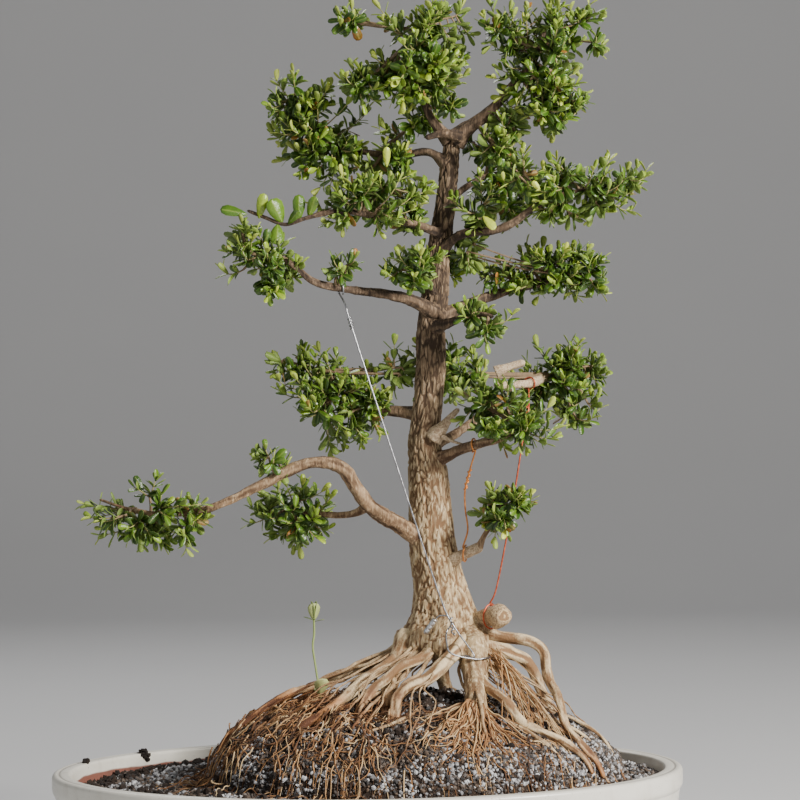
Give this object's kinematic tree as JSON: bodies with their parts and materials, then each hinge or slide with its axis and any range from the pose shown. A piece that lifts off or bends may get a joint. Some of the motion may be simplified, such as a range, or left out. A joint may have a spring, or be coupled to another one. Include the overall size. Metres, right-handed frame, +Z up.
{
  "type": "bonsai tree in a pot",
  "caption": "Small-leaved box bonsai, upright trunk on exposed roots over a soil mound, guyed with wires, in an oval glazed pot",
  "frame": {"origin": "middle of the pot's footprint, on the surface that it stands on", "axes": "+Z up the trunk, +X to the right along the pot's length, -Y towards the tree's front"},
  "size_m": [0.44, 0.33, 0.6335],
  "materials": {
    "glazed_clay": "gloss",
    "drainage_plastic": "matte",
    "grit": "matte",
    "old_soil": "matte",
    "trunk_bark": "matte",
    "limb_bark": "matte",
    "bare_wood": "matte",
    "root_bark": "matte",
    "leaves": "satin",
    "seedling_green": "satin",
    "steel_wire": "satin",
    "red_copper_wire": "satin",
    "orange_copper_wire": "satin",
    "crimp_steel": "satin"
  },
  "bodies": {
    "root": {"cut_root_knob": "root_bark", "dead_limb_right": "bare_wood", "drain_mesh": "drainage_plastic", "foliage_back_middle": "leaves", "foliage_back_upper": "leaves", "foliage_front": "leaves", "foliage_high_left": "leaves", "foliage_high_right_rear": "leaves", "foliage_low_left": "leaves", "foliage_low_left_fork": "leaves", "foliage_lower_right": "leaves", "foliage_lower_right_rear": "leaves", "foliage_mid_left": "leaves", "foliage_mid_right": "leaves", "foliage_mid_right_front": "leaves", "foliage_sprig_right": "leaves", "foliage_top_left": "leaves", "foliage_top_left_leader": "leaves", "foliage_top_right": "leaves", "foliage_upper_left": "leaves", "foliage_upper_right": "leaves", "guy_wire_orange": "orange_copper_wire", "guy_wire_red": "red_copper_wire", "guy_wire_silver": "steel_wire", "limb_back_middle": "limb_bark", "limb_back_upper": "limb_bark", "limb_front": "limb_bark", "limb_high_left": "limb_bark", "limb_high_right_rear": "limb_bark", "limb_low_left": "limb_bark", "limb_low_left_fork": "limb_bark", "limb_lower_right": "limb_bark", "limb_lower_right_rear": "limb_bark", "limb_mid_left": "limb_bark", "limb_mid_right": "limb_bark", "limb_mid_right_front": "limb_bark", "limb_top_leader": "limb_bark", "limb_top_left": "limb_bark", "limb_top_right": "limb_bark", "limb_upper_left": "limb_bark", "limb_upper_right": "limb_bark", "pot": "glazed_clay", "root_arch_right": "root_bark", "root_back_left": "root_bark", "root_back_middle": "root_bark", "root_back_right": "root_bark", "root_far_left": "root_bark", "root_front_bend": "root_bark", "root_front_left": "root_bark", "root_front_pillar": "root_bark", "root_front_right": "root_bark", "root_left_leg": "root_bark", "root_left_long": "root_bark", "root_mound": "old_soil", "seedling": "seedling_green", "soil_bed": "grit", "sprig_right": "limb_bark", "stub_right": "bare_wood", "trunk": "trunk_bark", "wire_crimp": "crimp_steel"}
  },
  "joints": []
}
